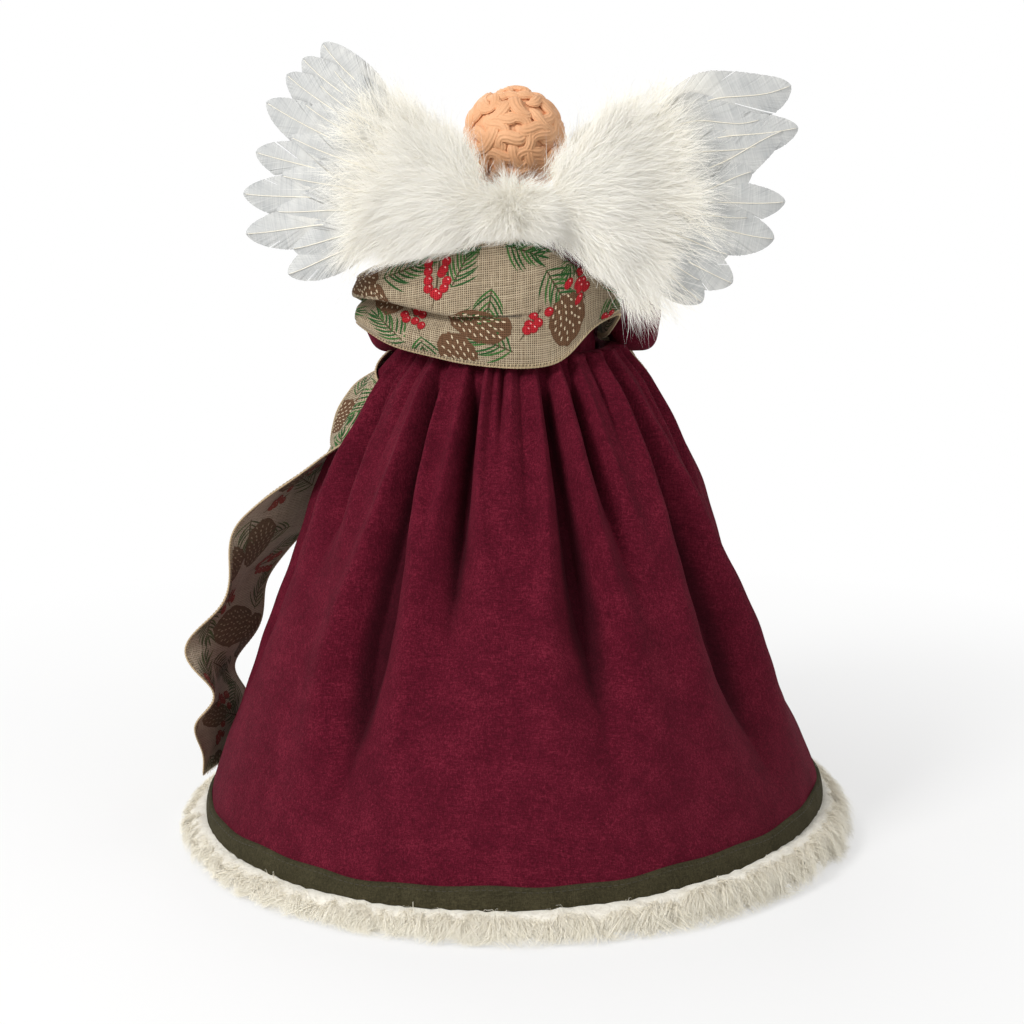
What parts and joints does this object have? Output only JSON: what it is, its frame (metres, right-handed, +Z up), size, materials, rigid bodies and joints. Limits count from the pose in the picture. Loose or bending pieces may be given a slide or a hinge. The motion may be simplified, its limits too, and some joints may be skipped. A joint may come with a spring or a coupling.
{
  "type": "angel tree topper",
  "caption": "Angel tree topper with a felt gown over an open cone, a cast head with curled hair, feather wings, wire arms and a wide ribbon draped round the back",
  "frame": {"origin": "on the floor under the axis of the cone and gown, at the bottom centre of the bounding box", "axes": "+Z up along the cone's axis; the angel faces -Y, so the wings are towards +Y; +X is towards the angel's left hand"},
  "size_m": [0.344, 0.344, 0.405],
  "materials": {
    "burgundy_felt": "brushed wool felt",
    "olive_felt": "wool felt",
    "cream_fur": "short faux fur",
    "stiff_net": "stiffened net",
    "paperboard": "plain",
    "polyester_wadding": "loose fibre",
    "dowel_wood": "sanded",
    "resin": "matte cast resin",
    "steel_wire": "drawn wire",
    "white_felt": "thin felt",
    "feather": "goose feather",
    "marabou": "downy feather",
    "burlap_ribbon": "printed burlap with wired edges"
  },
  "bodies": {
    "gown": {"cone_former": "paperboard", "skirt": "burgundy_felt", "hem_band": "olive_felt", "fur_trim": "cream_fur", "petticoat": "stiff_net", "waist_band": "burgundy_felt", "bodice": "burgundy_felt", "torso_padding": "polyester_wadding", "neck_dowel": "dowel_wood", "cone_plug": "dowel_wood", "head_casting": "resin", "arm_wire": "steel_wire", "ribbon_back": "burlap_ribbon", "ribbon_left_tail": "burlap_ribbon", "ribbon_right_tail": "burlap_ribbon", "left_upper_sleeve": "burgundy_felt", "right_upper_sleeve": "burgundy_felt", "wing_card": "paperboard", "middle_tuft": "marabou"},
    "left_wing": {"left_wing_wire": "steel_wire", "left_wing_base": "white_felt", "left_feather_1": "feather", "left_feather_2": "feather", "left_feather_3": "feather", "left_feather_4": "feather", "left_feather_5": "feather", "left_feather_6": "feather", "left_feather_7": "feather", "left_feather_8": "feather", "left_back_fluff": "marabou", "left_front_fluff": "marabou"},
    "right_wing": {"right_wing_wire": "steel_wire", "right_wing_base": "white_felt", "right_feather_1": "feather", "right_feather_2": "feather", "right_feather_3": "feather", "right_feather_4": "feather", "right_feather_5": "feather", "right_feather_6": "feather", "right_feather_7": "feather", "right_back_fluff": "marabou", "right_front_fluff": "marabou"},
    "left_forearm": {"left_forearm_sleeve": "burgundy_felt", "left_forearm_wire": "steel_wire", "left_hand": "resin"},
    "right_forearm": {"right_forearm_sleeve": "burgundy_felt", "right_forearm_wire": "steel_wire", "right_hand": "resin"}
  },
  "joints": [
    {"name": "left_wing_root", "type": "hinge", "parent": "gown", "child": "left_wing", "pos_m": [0.0135, 0.05, 0.322], "axis": [0, 0, 1], "range_deg": [-4, 15]},
    {"name": "right_wing_root", "type": "hinge", "parent": "gown", "child": "right_wing", "pos_m": [-0.0135, 0.05, 0.322], "axis": [0, 0, -1], "range_deg": [-4, 15]},
    {"name": "left_elbow", "type": "hinge", "parent": "gown", "child": "left_forearm", "pos_m": [0.066, -0.008, 0.266], "axis": [-0.8944, 0.4472, 0], "range_deg": [0, 15]},
    {"name": "right_elbow", "type": "hinge", "parent": "gown", "child": "right_forearm", "pos_m": [-0.066, -0.008, 0.266], "axis": [-0.8944, -0.4472, 0], "range_deg": [0, 15]}
  ]
}
